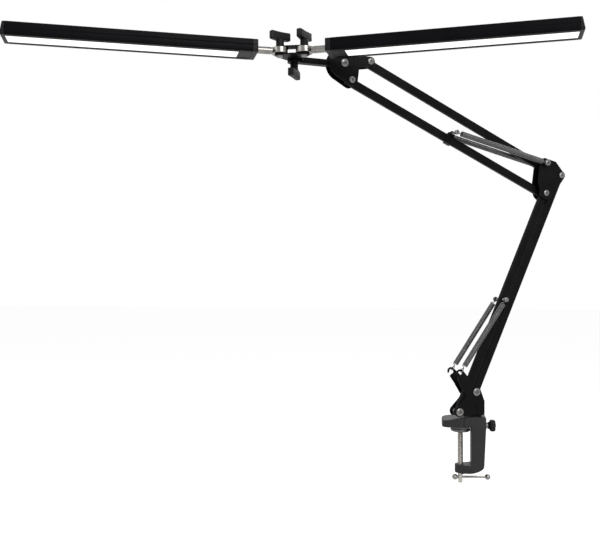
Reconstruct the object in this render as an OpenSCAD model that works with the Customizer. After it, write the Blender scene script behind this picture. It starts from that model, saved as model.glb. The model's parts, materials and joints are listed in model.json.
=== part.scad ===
// Clamp-on desk lamp: two light bars on a knuckle, a sprung two-stage arm and a screw clamp.
// Millimetres, +Z up. The origin is where the clamp screw's axis meets the underside of the top jaw.
// The clamp's jaw points along -X. The arm leans in one upright plane that turns about the post.

/* [Clamp] */
// Reach of the top jaw in front of the screw axis
jaw_reach = 26.4; // [20:0.2:40]
// Width of the top jaw
jaw_w = 42; // [34:1:60]
// Height of the jaw at its tip
jaw_tip_h = 9.8; // [6:0.2:12]
// Height of the jaw over the column
jaw_root_h = 14.6; // [12.5:0.2:20]
// Corner radius of the jaw's front, seen from above
jaw_corner_r = 9; // [2:0.5:14]
// Screw axis to the column's inner face
throat = 14.6; // [14.2:0.2:40]
// Depth of the column along X at its top
column_d = 21.5; // [17:0.5:36]
// Width of the column
column_w = 30; // [22:1:40]
// How much the column's back leans in towards its foot
column_taper = 3; // [0:0.5:6]
// Chamfer on the column's upright edges
column_chamfer = 3; // [1:0.5:5]
// Clear height from the jaw down to the threaded boss
mouth_h = 55.5; // [40:0.5:80]
// Radius of the threaded boss
boss_r = 8; // [7:0.2:12]
// Height of the threaded boss
boss_h = 12.5; // [10:0.5:24]

/* [Clamp screw] */
// Radius of the clamp screw
screw_r = 4; // [3:0.1:5]
// Radius of the swivel pad
pad_r = 14; // [11.4:0.2:14.4]
// Height of the swivel pad
pad_h = 6.4; // [6:0.2:9]
// Height of the pad's upright wall
pad_wall_h = 3.4; // [1:0.2:4]
// Gap between the pad and the jaw when wound right up
pad_gap = 3.8; // [2.2:0.1:6]
// Radius of the screw's plain lower end
screw_end_r = 3.2; // [2.6:0.1:4]
// Length of screw that stays below the boss when wound right up
screw_tail = 15; // [12:0.2:24]
// Tommy bar's distance below the boss
tommy_drop = 6.8; // [6.6:0.2:8]
// Radius of the tommy bar
tommy_r = 1.7; // [1.2:0.1:2.2]
// Distance between the centres of the tommy bar's balls
tommy_length = 47; // [30:1:90]
// Radius of the tommy bar's balls
tommy_ball_r = 4.2; // [3:0.1:4.6]
// Angle of the tommy bar about the screw
tommy_turn = 8; // [-40:1:40]

/* [Lock knob] */
// Height of the lock screw's axis above the jaw's underside
lock_z = 1; // [-4:0.5:3]
// Radius of the lock screw
lock_screw_r = 3; // [2:0.1:4]
// Outer radius of the star knob
lock_knob_r = 9.8; // [8:0.2:13]
// Thickness of the star knob
lock_knob_t = 11; // [8:0.5:16]
// Number of lobes on the star knob
lock_lobes = 6; // [5:1:8]
// Length of bare screw between the column and the star knob
lock_stand_off = 3; // [2.4:0.2:8]

/* [Post and base bracket] */
// Column's inner face to the post's axis
post_inset = 7.4; // [7:0.2:14]
// Radius of the post
post_r = 5; // [4:0.1:6]
// Depth of the post in the clamp, below the jaw's underside
post_depth = 22; // [12:1:40]
// Angle between the arm's plane and the clamp's X axis
arm_turn = 28; // [-90:1:90]
// Height of the rear pivot above the clamp's top face
base_pivot_h = 35.6; // [35:0.2:46]
// Rear pivot's distance behind the post axis
base_pivot_back = 3.5; // [0:0.1:6]
// Radius of the bracket plates round the pivots
base_lobe_r = 7.5; // [6.8:0.1:7.8]
// Bracket foot's gap above the clamp's top face
bracket_gap = 1.6; // [1.3:0.1:2]
// Spring hook's place behind the rear pivot
hook_back = 29.7; // [26:0.1:34]
// Spring hook's height above the rear pivot
hook_up = 29; // [26:0.5:38]
// Outer radius of the spring hook
hook_r = 6.2; // [5.8:0.1:7.5]
// Radius of the hook's eye
hook_eye_r = 3.3; // [2.8:0.1:3.6]
// Angle at which the hook arms splay outwards
hook_splay = 14; // [10:0.5:17]
// Radius of the spring loop that passes through a hook's eye
hook_loop_r = 2.8; // [2.6:0.05:3]

/* [Arms] */
// Pivot-to-pivot length of the lower tubes
lower_l = 350; // [280:1:450]
// Pivot-to-pivot length of the upper tubes
upper_l = 343; // [280:1:450]
// Lean of the lower arm above the horizontal
lower_a = 65.3; // [62:0.1:110]
// Direction of the upper arm above the horizontal
upper_a = 155.3; // [120:0.1:185]
// Distance between the two pivots at each end of an arm
pivot_gap = 38.8; // [36:0.1:44]
// Direction from the rear pivot to the front pivot
pivot_a = 225; // [220:1:230]
// Height of the rectangular tubes, in the arm's plane
tube_h = 11.4; // [8:0.1:11.6]
// Width of the rectangular tubes, across the arm
tube_w = 6; // [5:0.1:8]
// Wall of the tubes
tube_wall = 0.8; // [0.5:0.1:1.5]
// Length of tube past each pivot
tube_end = 5; // [4.5:0.5:7]
// Depth of the plugs in the tube ends
plug_depth = 18; // [12:1:30]

/* [Plates and bolts] */
// Thickness of the bracket plates
plate_t = 1.5; // [1:0.1:2]
// Play between a tube and what it turns beside
side_play = 0.15; // [0.1:0.01:0.3]
// Radius of the pivot bolts
bolt_r = 2.5; // [2:0.1:3]
// Radius of the base bolts' heads
base_head_r = 5.8; // [4.6:0.1:6.4]
// Radius of the elbow and head bolts' heads
head_r = 4.6; // [4:0.1:5]
// Height of the bolt heads
head_h = 2.4; // [1.6:0.1:3.2]
// Height of the nuts
nut_h = 3.4; // [2.4:0.1:4.5]
// Radius of the spacer sleeves
spacer_r = 4.4; // [3.8:0.1:5]
// Radial play of every turning joint
fit = 0.05; // [0.02:0.01:0.08]

/* [Springs] */
// Radius of the spring wire
wire_r = 0.6; // [0.4:0.05:0.8]
// Outer radius of the coils
coil_r = 4; // [3:0.1:4.4]
// Radius of the pins that hold the springs
pin_r = 2; // [1.6:0.1:2.4]
// Lower spring pin's distance up the front tube
lower_pin_at = 176; // [120:1:220]
// Upper spring pin's distance along the bottom tube
upper_pin_at = 173; // [120:1:220]
// Height of the upper spring pin over its tube's axis
upper_pin_up = 9; // [8.8:0.1:10.5]

/* [Elbow] */
// Spring bolt's place in front of the front pivot
anchor_x = -1; // [-2:0.5:6]
// Spring bolt's height above the front pivot
anchor_up = 44.3; // [40:0.1:50]
// Radius of the elbow plate round the spring bolt
anchor_lobe_r = 8; // [6.5:0.1:9]
// Radius of the pressed boss round the front pivot
elbow_boss_r = 12; // [10:0.2:14]
// Height of the pressed boss
elbow_boss_h = 1.2; // [0.6:0.1:2]

/* [Head] */
// Radius of the domed top of the head plates
dome_r = 22; // [20:0.5:26]
// Tilt axis in front of the lower head pivot
tilt_x = 11; // [8:0.5:14]
// Tilt axis above the lower head pivot
tilt_up = 22; // [20:0.5:26]
// Radius of the friction disc
disc_r = 14; // [10:0.5:17]
// Lower head pivot to the pan axis
pan_reach = 80.5; // [64:0.5:110]
// Width of the head arm
head_arm_w = 10; // [7:0.5:10]
// Height of the head arm
head_arm_h = 8; // [6:0.5:10]
// Underside of the head arm above the lower head pivot
head_arm_up = 17.4; // [16:0.2:20]

/* [Knuckle] */
// Distance between the two swing axes
swing_gap = 32; // [30.5:0.5:44]
// Swing axes' distance in front of the pan axis
swing_set = 20.6; // [19:0.2:30]
// Direction of the knuckle in the arm's frame
knuckle_a = 244.5; // [200:0.5:246]
// Radius of the M6 bolts
big_bolt_r = 3; // [2.5:0.1:3.4]
// Thickness of the knuckle plate
knuckle_t = 2; // [1.5:0.1:3]
// Radius of the knuckle plate round the pan axis
pan_lobe_r = 9; // [8:0.2:10]
// Radius of the knuckle plate round the swing axes
swing_lobe_r = 7; // [6:0.2:9]
// Radius of the rods' eyes
eye_r = 11.3; // [9:0.1:12.4]
// Thickness of the rods' eyes
eye_t = 7.6; // [6:0.1:9]
// Radius of the rods
rod_r = 4.7; // [4:0.1:5.4]
// Swing axis to the end of the light bar
rod_l = 32; // [26:0.5:50]
// Direction of the left bar in the arm's frame
left_a = 174.5; // [165:0.5:185]
// Direction of the right bar in the arm's frame
right_a = 326.5; // [310:0.5:330]

/* [Wing knobs] */
// Length of the wing
wing_l = 29.6; // [20:0.2:30]
// Height of the wing
wing_h = 11; // [8:0.5:15]
// Thickness of the wing
wing_t = 8; // [6:0.5:10]
// Radius of the knob's stem
stem_r = 5.3; // [4.4:0.1:6]
// Height of the knob's stem
stem_h = 8.4; // [6:0.2:12]

/* [Light bars] */
// Length of a light bar
bar_l = 311; // [240:1:420]
// Width of a light bar
bar_w = 40; // [34:0.5:56]
// Height of a light bar
bar_h = 16.4; // [15:0.2:22]
// Wall of the bar's housing
bar_wall = 1.4; // [1:0.1:1.8]
// Width of the housing's rim beside the diffuser
rim = 7.5; // [1.8:0.1:9]
// Length of the inner cap seen from the side
inner_cap_l = 7; // [5:0.5:12]
// Length of the plain block on the underside at the inner end
block_l = 24; // [20:0.5:40]
// Thickness of the outer cap at its top
outer_cap_t = 2.5; // [2:0.1:5]
// How far the outer cap's foot stands out past its top
cap_slant = 3; // [0:0.5:6]
// Thickness of the diffuser
diffuser_t = 2; // [1.2:0.1:3]
// Thickness of the LED board
board_t = 1.2; // [0.8:0.1:2]
// Depth of the diffuser behind the housing's rim
recess = 0.4; // [0.2:0.1:1]
// Pitch of the LEDs
led_pitch = 8; // [6:0.5:20]

/* [Hidden] */
$fn = 48;

// Flat faces of different pieces that meet stand this far apart
seat = 0.1;
// Play that keeps two moving faces clear
clear = 0.3;

post_x = throat + post_inset;
column_back = throat + column_d;
boss_top = -mouth_h;
boss_bottom = boss_top - boss_h;

// A direction in the arm's plane, as [forward, up]
function dir(a) = [cos(a), sin(a)];

// The arm's pivots as [forward, up] from the post axis and the jaw's underside
link = pivot_gap * dir(pivot_a);
rear_base = [-base_pivot_back, jaw_root_h + base_pivot_h];
front_base = rear_base + link;
rear_elbow = rear_base + lower_l * dir(lower_a);
front_elbow = rear_elbow + link;
anchor = front_elbow + [anchor_x, anchor_up];
low_head = front_elbow + upper_l * dir(upper_a);
top_head = low_head - link;
tilt = low_head + [-tilt_x, tilt_up];
hook = rear_base + [-hook_back, hook_up];
lower_pin = front_base + lower_pin_at * dir(lower_a);
upper_pin = front_elbow + upper_pin_at * dir(upper_a) + upper_pin_up * dir(upper_a - 90);

// Layers across the arm: the lower tubes on the near side, the upper tubes on the far side
layer = side_play + tube_w / 2;
plate_in = 2 * side_play + tube_w + seat;
plate_out = plate_in + plate_t;
bend_up = 10;
// Centre of the hook's eye once its arm is splayed, the middle of its rim, and the spring's rise to it
eye = rear_base + [-hook_back, bend_up + (hook_up - bend_up) * cos(hook_splay)];
hook_c = (hook_eye_r + hook_r) / 2;
hook_lift = hook_c * (lower_pin[1] - eye[1]) / norm(lower_pin - eye);
spring_v = plate_in + plate_t / 2 + (hook_up - bend_up) * sin(hook_splay) + hook_lift * tan(hook_splay);
// Longer than anything that is cut across
far = 200;
pin_end = spring_v + wire_r + 1.2;

// Heights in the head, above the lower head pivot
plate_z = low_head[1] + head_arm_up + head_arm_h / 2;
eye_z = plate_z + knuckle_t + clear;
rod_z = eye_z + eye_t / 2;
top_plate_z = eye_z + eye_t + clear;
top_plate_t = 1.6;
knob_z = top_plate_z + top_plate_t + clear;
pan = [low_head[0] - pan_reach, 0];
swing_mid = pan + swing_set * dir(knuckle_a);
left_swing = swing_mid + swing_gap / 2 * dir(knuckle_a - 90);
right_swing = swing_mid - swing_gap / 2 * dir(knuckle_a - 90);

// Colours
black = "#1c1c1e";
charcoal = "#3a3a3d";
steel = "#8c8c90";
zinc = "#c9c9cd";
nickel = "#b9b5ab";

// ---- Frames ----

// The arm's frame: X forward in the arm's plane, Y across it, Z up, at the post axis
module arm() {
    translate([post_x, 0, 0]) rotate([0, 0, arm_turn]) children();
}

// An outline in the arm's plane made into a plate from v0 to v0 + t across the arm
module slab(v0, t) {
    translate([0, v0 + t, 0]) rotate([90, 0, 0]) linear_extrude(t) children();
}

// A round bar across the arm at p, from v0 to v1
module across(p, r, v0, v1) {
    translate([p[0], v0, p[1]]) rotate([-90, 0, 0]) cylinder(r = r, h = v1 - v0);
}

// ---- Outlines ----

// Two discs and the straight sides between them, drawn a hair inside the tangent so that they cross
module bridge(p, r, q, s) {
    d = norm(q - p);
    a = atan2(q[1] - p[1], q[0] - p[0]);
    b = acos((r - s) / d);
    m = r - 0.02;
    n = s - 0.02;
    translate(p) circle(r);
    translate(q) circle(s);
    polygon([p + m * dir(a - b), q + n * dir(a - b), q + n * dir(a + b), p + m * dir(a + b)]);
}

// A rectangle with round corners, from low to high
module rounded(low, high, r) {
    translate([low[0] + r, low[1]]) square([high[0] - low[0] - 2 * r, high[1] - low[1]]);
    translate([low[0], low[1] + r]) square([high[0] - low[0], high[1] - low[1] - 2 * r]);
    for (x = [low[0] + r, high[0] - r], y = [low[1] + r, high[1] - r])
        translate([x, y]) circle(r);
}

// ---- Clamp ----

// The clamp seen from the side: jaw, column and foot
module clamp_side() {
    foot_back = column_back - column_taper;
    polygon(concat(
        [[-jaw_reach, 1], [-jaw_reach + 0.6, 0], [throat, 0], [throat, boss_top], [0, boss_top]],
        [for (a = [0 : 10 : 90]) [foot_back * sin(a), boss_top - boss_h * cos(a)]],
        [[column_back, 0], [column_back, jaw_root_h - 1.5], [column_back - 1.5, jaw_root_h],
        [throat - 4, jaw_root_h], [-jaw_reach + 1.5, jaw_tip_h], [-jaw_reach, jaw_tip_h - 1.5]]));
}

// The clamp seen from above
module clamp_plan() {
    w = jaw_w / 2;
    c = column_w / 2;
    k = column_chamfer;
    rounded([-jaw_reach, -w], [throat - 6, w], jaw_corner_r);
    polygon([[throat - 10, -w], [throat - 6, -w], [throat + 2, -c], [column_back - k, -c],
        [column_back, -c + k], [column_back, c - k], [column_back - k, c], [throat + 2, c],
        [throat - 6, w], [throat - 10, w]]);
}

// The foot seen from above: the column's width drawn in to the boss
module foot_plan() {
    c = column_w / 2;
    k = column_chamfer;
    circle(boss_r);
    polygon([[0, -boss_r], [throat, -c], [column_back - k, -c], [column_back, -c + k],
        [column_back, c - k], [column_back - k, c], [throat, c], [0, boss_r]]);
}

module clamp_body() {
    color(charcoal) difference() {
        union() {
            intersection() {
                translate([0, jaw_w, 0]) rotate([90, 0, 0]) linear_extrude(2 * jaw_w) clamp_side();
                union() {
                    translate([0, 0, -0.01]) linear_extrude(jaw_root_h + 1) clamp_plan();
                    translate([0, 0, boss_bottom - 1]) linear_extrude(-boss_bottom + 1.5) foot_plan();
                }
            }
            translate([0, 0, boss_bottom]) cylinder(r = boss_r, h = boss_h);
        }
        translate([0, 0, boss_bottom - 1]) cylinder(r = screw_r + fit, h = boss_h + 2);
        translate([post_x, 0, -post_depth - clear]) cylinder(r = post_r + fit, h = post_depth + 40);
        translate([post_x, 0, lock_z]) rotate([0, 90, 0])
            cylinder(r = lock_screw_r + fit, h = column_d + 10);
    }
}

// ---- Clamp screw and pad ----

pad_top = -pad_gap;
pad_bottom = pad_top - pad_h;
tip_r = 2.8;
tip_z = pad_top - 1.2 - tip_r;
neck_r = 1.9;
tommy_z = boss_bottom - tommy_drop;

// A shallow dish with a hub that holds the screw's ball tip
module swivel_pad() {
    hub_r = tip_r + 2.2;
    color(nickel) difference() {
        rotate_extrude() polygon([[0, pad_top], [pad_r - 0.5, pad_top], [pad_r, pad_top - 0.5],
            [pad_r, pad_top - pad_wall_h], [pad_r - 1.5, pad_top - pad_wall_h - 1],
            [hub_r + 2, pad_bottom + 0.8],
            [hub_r, pad_bottom], [0, pad_bottom]]);
        translate([0, 0, tip_z]) sphere(tip_r + clear);
        translate([0, 0, pad_bottom - 1]) cylinder(r = neck_r + clear, h = tip_z - pad_bottom + 1);
    }
}

module clamp_screw() {
    top = pad_bottom - 0.6;
    bottom = boss_bottom - screw_tail;
    color(nickel) difference() {
        union() {
            translate([0, 0, tip_z]) sphere(tip_r);
            translate([0, 0, top - 1]) cylinder(r = neck_r, h = tip_z - top + 1);
            translate([0, 0, boss_bottom - 0.6]) cylinder(r = screw_r, h = top - boss_bottom + 0.6);
            translate([0, 0, bottom + 1]) cylinder(r = screw_end_r, h = screw_tail);
            translate([0, 0, bottom]) cylinder(r1 = screw_end_r - 1, r2 = screw_end_r, h = 1);
        }
        translate([0, 0, tommy_z]) rotate([0, 0, tommy_turn]) rotate([0, 90, 0])
            cylinder(r = tommy_r + fit, h = 4 * screw_r, center = true);
    }
}

// The tommy bar's frame: X along the bar from its near ball's centre
module tommy() {
    translate([0, 0, tommy_z]) rotate([0, 0, tommy_turn])
        translate([-screw_end_r - tommy_ball_r - clear, 0, 0]) children();
}

module tommy_bar() {
    color(nickel) tommy() rotate([0, 90, 0]) cylinder(r = tommy_r, h = tommy_length);
}

module tommy_bar_balls() {
    color(zinc) tommy() difference() {
        for (x = [0, tommy_length]) translate([x, 0, 0]) sphere(tommy_ball_r);
        rotate([0, 90, 0]) cylinder(r = tommy_r + 0.02, h = tommy_length);
    }
}

// ---- Lock knob ----

groove_r = post_r - 0.8;
lock_tip = post_x + groove_r + 0.2;
lock_knob_x = column_back + lock_stand_off;

module lock_knob() {
    lobe_r = lock_knob_r * 0.34;
    color(black) difference() {
        translate([lock_knob_x, 0, lock_z]) rotate([0, 90, 0]) union() {
            cylinder(r = lock_knob_r - lobe_r, h = lock_knob_t);
            for (i = [1 : lock_lobes]) rotate([0, 0, i * 360 / lock_lobes])
                translate([lock_knob_r - lobe_r, 0, 0]) cylinder(r = lobe_r, h = lock_knob_t - 1);
        }
        translate([lock_knob_x - 1, 0, lock_z]) rotate([0, 90, 0])
            cylinder(r = lock_screw_r, h = lock_knob_t * 0.7 + 1);
    }
}

module lock_knob_screw() {
    color(zinc) translate([lock_tip, 0, lock_z]) rotate([0, 90, 0])
        cylinder(r = lock_screw_r, h = lock_knob_x + lock_knob_t * 0.7 - lock_tip);
    color(zinc) translate([column_back + clear, 0, lock_z]) rotate([0, 90, 0])
        cylinder(r = lock_screw_r + 1.6, h = lock_stand_off - clear);
}

// ---- Post and base bracket ----

foot_z = jaw_root_h + bracket_gap;
block_top = foot_z + 16;
block_half = 6;

module post_washer() {
    color(black) translate([post_x, 0, jaw_root_h]) difference() {
        cylinder(r = post_r + 3.4, h = bracket_gap - clear);
        translate([0, 0, -1]) cylinder(r = post_r + fit, h = 3);
    }
}

// Post with a locking groove, and the block that the two plates are riveted to
module base_post() {
    groove_h = 2 * lock_screw_r + 1;
    color(steel) arm() difference() {
        union() {
            translate([0, 0, -post_depth]) cylinder(r = post_r, h = foot_z + post_depth + 1);
            translate([-block_half, -plate_in, foot_z]) cube([2 * block_half, 2 * plate_in, block_top - foot_z]);
        }
        translate([0, 0, lock_z - groove_h / 2]) difference() {
            cylinder(r = post_r + 1, h = groove_h);
            translate([0, 0, -1]) cylinder(r = groove_r, h = groove_h + 2);
        }
        for (z = rivet_z) across([0, z], rivet_r, -plate_out - 1, plate_out + 1);
    }
}

rivet_z = [foot_z + 4, foot_z + 12];
rivet_r = 2;

module base_rivets() {
    color(black) arm() for (z = rivet_z) {
        across([0, z], rivet_r, -plate_out, plate_out);
        for (v = [-plate_out - 1, plate_out]) across([0, z], rivet_r + 1.5, v, v + 1);
    }
}

// The flat part of a base plate, up to the bend of its hook arm
module base_plate_flat() {
    corner = 2;
    right = base_pivot_back + base_lobe_r - 1;
    difference() {
        union() {
            bridge(rear_base, base_lobe_r, front_base, base_lobe_r);
            bridge(rear_base, base_lobe_r, [right - corner, rear_base[1] - 14], corner);
            polygon([rear_base, front_base, [front_base[0] + base_lobe_r, foot_z], [right - corner, foot_z],
                [right, foot_z + corner], [right, rear_base[1] - 14]]);
            bridge([right - corner, foot_z + corner], corner, [right - corner, rear_base[1] - 14], corner);
            intersection() {
                hook_arm();
                translate([-far, rear_base[1] - far]) square([2 * far, far + bend_up]);
            }
        }
        for (p = [rear_base, front_base]) translate(p) circle(bolt_r + fit);
        for (z = rivet_z) translate([0, z]) circle(rivet_r + 0.02);
        translate([-far, foot_z - far]) square([2 * far, far]);
    }
}

// Outline of the hook arm, from the waist up to its open hook
module hook_arm() {
    difference() {
        bridge(rear_base + [-11, 4], 10, hook, hook_r);
        translate(hook) circle(hook_eye_r);
        translate(hook) rotate(225) translate([0, -hook_eye_r * 0.65]) square([12, hook_eye_r * 1.3]);
    }
}

// One base plate: flat below, with its hook arm bent outwards. side is -1 near, 1 far
module base_plate(side) {
    bend_z = rear_base[1] + bend_up;
    arm() {
        slab(side > 0 ? plate_in : -plate_out, plate_t) base_plate_flat();
        translate([0, side * (plate_in + plate_t / 2), bend_z]) rotate([-side * hook_splay, 0, 0])
            translate([0, 0, -bend_z]) slab(-plate_t / 2, plate_t) intersection() {
                hook_arm();
                translate([-far, bend_z - 0.2]) square([2 * far, far]);
            }
    }
}

module base_plate_near() {
    color(black) base_plate(-1);
}

module base_plate_far() {
    color(black) base_plate(1);
}

// A bolt across the arm with its domed head on the near side, from the face at v0
module pivot_bolt(p, r, v0, v1, hr) {
    across(p, r, v0 - 0.5, v1);
    translate([p[0], v0, p[1]]) rotate([90, 0, 0]) cylinder(r1 = hr, r2 = hr * 0.72, h = head_h);
}

// A hexagon nut across the arm, from v0 outwards on the far side
module pivot_nut(p, r, v0) {
    translate([p[0], v0, p[1]]) rotate([-90, 0, 0]) difference() {
        cylinder(r = r * 1.9, h = nut_h, $fn = 6);
        translate([0, 0, -1]) cylinder(r = r, h = nut_h + 2, $fn = 48);
    }
}

// A sleeve round a bolt, from v0 to v1
module sleeve(p, v0, v1) {
    difference() {
        across(p, spacer_r, v0, v1);
        across(p, bolt_r + fit, v0 - 1, v1 + 1);
    }
}

module base_bolts() {
    color(zinc) arm() for (p = [rear_base, front_base])
        pivot_bolt(p, bolt_r, -plate_out, plate_out + nut_h + 0.6, base_head_r);
}

module base_nuts() {
    color(zinc) arm() for (p = [rear_base, front_base]) pivot_nut(p, bolt_r, plate_out);
}

module base_spacers() {
    color(steel) arm() for (p = [rear_base, front_base]) sleeve(p, side_play, plate_in);
}

// ---- Tubes ----

// The frame of a tube: X along it from its first pivot, Z square to it in the arm's plane
module along(p, a, v) {
    translate([p[0], v, p[1]]) rotate([0, -a, 0]) children();
}

// A rectangular bar along X, smaller than the tube by inset all round
module tube_bar(x0, x1, inset, r) {
    w = tube_w / 2 - inset;
    h = tube_h / 2 - inset;
    translate([x0, 0, 0]) rotate([90, 0, 90]) linear_extrude(x1 - x0) rounded([-w, -h], [w, h], r);
}

module tube_body(l) {
    difference() {
        tube_bar(-tube_end, l + tube_end, 0, 1);
        tube_bar(-tube_end - 1, l + tube_end + 1, tube_wall, 0.4);
        for (x = [0, l]) translate([x, 0, 0]) rotate([90, 0, 0])
            cylinder(r = bolt_r + fit, h = 2 * tube_w, center = true);
    }
}

// The plastic plugs that close a tube's two ends
module tube_plugs(l) {
    for (end = [0, 1]) translate([end * l, 0, 0]) rotate([0, end * 180, 0]) difference() {
        union() {
            tube_bar(-tube_end - 0.5, plug_depth - tube_end, tube_wall + seat, 0.4);
            tube_bar(-tube_end - 1.2, -tube_end, 0, 1);
        }
        rotate([90, 0, 0]) cylinder(r = bolt_r + fit, h = 2 * tube_w, center = true);
    }
}

module lower_rear_tube() {
    color(black) arm() along(rear_base, lower_a, -layer) tube_body(lower_l);
}

module lower_rear_plugs() {
    color(black) arm() along(rear_base, lower_a, -layer) tube_plugs(lower_l);
}

module lower_front_tube() {
    color(black) arm() difference() {
        along(front_base, lower_a, -layer) tube_body(lower_l);
        across(lower_pin, pin_r + 0.02, -2 * tube_w, 2 * tube_w);
    }
}

module lower_front_plugs() {
    color(black) arm() along(front_base, lower_a, -layer) tube_plugs(lower_l);
}

module upper_top_tube() {
    color(black) arm() along(rear_elbow, upper_a, layer) tube_body(upper_l);
}

module upper_top_plugs() {
    color(black) arm() along(rear_elbow, upper_a, layer) tube_plugs(upper_l);
}

module upper_bottom_tube() {
    color(black) arm() along(front_elbow, upper_a, layer) tube_body(upper_l);
}

module upper_bottom_plugs() {
    color(black) arm() along(front_elbow, upper_a, layer) tube_plugs(upper_l);
}

// ---- Springs ----

// A pin across the arm with a head at each end
module spring_pin(p) {
    across(p, pin_r, -pin_end, pin_end);
    for (v = [-pin_end - 1.4, pin_end]) across(p, pin_r + 1.4, v, v + 1.4);
}

module lower_spring_pin() {
    color(zinc) arm() spring_pin(lower_pin);
}

// A strap round the bottom tube whose two ears carry the upper spring pin above it
module upper_spring_clip() {
    t = 1.2;
    w = tube_w / 2 + seat;
    h = tube_h / 2 + seat;
    strap = 5;
    ear_r = pin_r + 2;
    color(zinc) arm() difference() {
        along(front_elbow + upper_pin_at * dir(upper_a), upper_a, layer) rotate([180, 0, 0]) difference() {
            union() {
                translate([-strap, -w - t, -h - t]) cube([2 * strap, 2 * w + 2 * t, 2 * h + 2 * t]);
                for (v = [-w - t, w]) translate([0, v + t, upper_pin_up]) rotate([90, 0, 0])
                    cylinder(r = ear_r, h = t);
                for (v = [-w - t, w]) translate([-ear_r, v, 0]) cube([2 * ear_r, t, upper_pin_up]);
            }
            translate([-strap - 1, -w, -h]) cube([2 * strap + 2, 2 * w, far]);
        }
        across(upper_pin, pin_r + 0.02, -2 * pin_end, 2 * pin_end);
    }
}

module upper_spring_pin() {
    color(zinc) arm() spring_pin(upper_pin);
}

// A close-wound spring from p to q. Its loop at p lies flat round a pin of radius r, or, where hooked is
// true, stands across the plate of an open hook. The loop at q lies flat round the spring pin.
module spring(p, r, hooked, q, v) {
    l = norm(q - p);
    a = atan2(q[1] - p[1], q[0] - p[0]);
    loop_p = hooked ? hook_loop_r : r + wire_r + 0.25;
    loop_q = pin_r + wire_r + 0.25;
    start = hooked ? hook_c + loop_p + 3 : loop_p + 6;
    stop = l - loop_q - 4;
    turns = floor((stop - start) / 2);
    pitch = (stop - start) / turns;
    translate([p[0], v, p[1]]) rotate([0, -a, 0]) {
        if (hooked) translate([hook_c, 0, 0]) rotate_extrude() translate([loop_p, 0]) circle(wire_r);
        else rotate([90, 0, 0]) rotate_extrude() translate([loop_p, 0]) circle(wire_r);
        translate([l, 0, 0]) rotate([90, 0, 0]) rotate_extrude() translate([loop_q, 0]) circle(wire_r);
        translate([hooked ? hook_c + loop_p : loop_p, 0, 0]) rotate([0, 90, 0])
            cylinder(r = wire_r, h = start + 1 - (hooked ? hook_c + loop_p : loop_p));
        translate([stop - 1, 0, 0]) rotate([0, 90, 0]) cylinder(r = wire_r, h = l - loop_q - stop + 1);
        translate([start, 0, 0]) rotate([0, 90, 0]) rotate_extrude() polygon(concat(
            [[0, 0]],
            [for (i = [0 : turns - 1], s = [0, 1]) [coil_r - (1 - s) * wire_r, (i + s / 2) * pitch]],
            [[coil_r - wire_r, stop - start], [0, stop - start]]));
    }
}

module lower_spring_near() {
    color(steel) arm() spring(eye, 0, true, lower_pin, -spring_v);
}

module lower_spring_far() {
    color(steel) arm() spring(eye, 0, true, lower_pin, spring_v);
}

module upper_spring_near() {
    color(steel) arm() spring(anchor, bolt_r, false, upper_pin, -spring_v);
}

module upper_spring_far() {
    color(steel) arm() spring(anchor, bolt_r, false, upper_pin, spring_v);
}

// ---- Elbow ----

elbow_out = plate_out + elbow_boss_h;

module elbow_outline() {
    corner = front_elbow + [-link[0] * 0.6, anchor_up - 0.8];
    waist = front_elbow + [-5, 15];
    bridge(anchor, anchor_lobe_r, corner, 4.5);
    bridge(corner, 4.5, rear_elbow, 6);
    bridge(anchor, anchor_lobe_r, waist, 8);
    bridge(waist, 8, front_elbow, 9);
    bridge(front_elbow, 9, rear_elbow, 6);
    polygon([anchor, corner, rear_elbow, front_elbow, waist]);
}

module elbow_plate(side) {
    arm() difference() {
        union() {
            slab(side > 0 ? plate_in : -plate_out, plate_t) elbow_outline();
            slab(side > 0 ? plate_in + 0.5 : -elbow_out, plate_t + elbow_boss_h - 0.5)
                bridge(front_elbow + [1, 2], elbow_boss_r, rear_elbow, 6.4);
        }
        for (p = [anchor, rear_elbow, front_elbow])
            across(p, bolt_r + fit, -elbow_out - 1, elbow_out + 1);
    }
}

module elbow_plate_near() {
    color(black) elbow_plate(-1);
}

module elbow_plate_far() {
    color(black) elbow_plate(1);
}

module elbow_bolts() {
    color(zinc) arm() for (p = [rear_elbow, front_elbow])
        pivot_bolt(p, bolt_r, -elbow_out, elbow_out + nut_h + 0.6, head_r);
}

module elbow_nuts() {
    color(zinc) arm() for (p = [rear_elbow, front_elbow]) pivot_nut(p, bolt_r, elbow_out);
}

// Studs riveted through the plates, one each side, that carry the upper springs
module elbow_studs() {
    color(zinc) arm() {
        across(anchor, bolt_r, -pin_end, -plate_in);
        across(anchor, bolt_r, plate_in, pin_end);
        for (v = [-pin_end - head_h, pin_end]) across(anchor, head_r, v, v + head_h);
    }
}

// ---- Head bracket ----

module head_outline() {
    neck = tilt + [8, 3];
    bridge(tilt, dome_r, low_head, 8.5);
    bridge(neck, 9, top_head, 6.5);
}

module head_plate(side) {
    arm() difference() {
        slab(side > 0 ? plate_in : -plate_out, plate_t) head_outline();
        for (p = [low_head, top_head]) across(p, bolt_r + fit, -plate_out - 1, plate_out + 1);
        across(tilt, big_bolt_r + fit, -plate_out - 1, plate_out + 1);
    }
}

module head_plate_near() {
    color(black) head_plate(-1);
}

module head_plate_far() {
    color(black) head_plate(1);
}

module head_bolts() {
    color(zinc) arm() {
        for (p = [low_head, top_head]) pivot_bolt(p, bolt_r, -plate_out, plate_out + nut_h + 0.6, head_r);
        pivot_bolt(tilt, big_bolt_r, -plate_out, plate_out + nut_h + 0.6, head_r + 1);
    }
}

module head_nuts() {
    color(zinc) arm() {
        for (p = [low_head, top_head]) pivot_nut(p, bolt_r, plate_out);
        pivot_nut(tilt, big_bolt_r, plate_out);
    }
}

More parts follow.
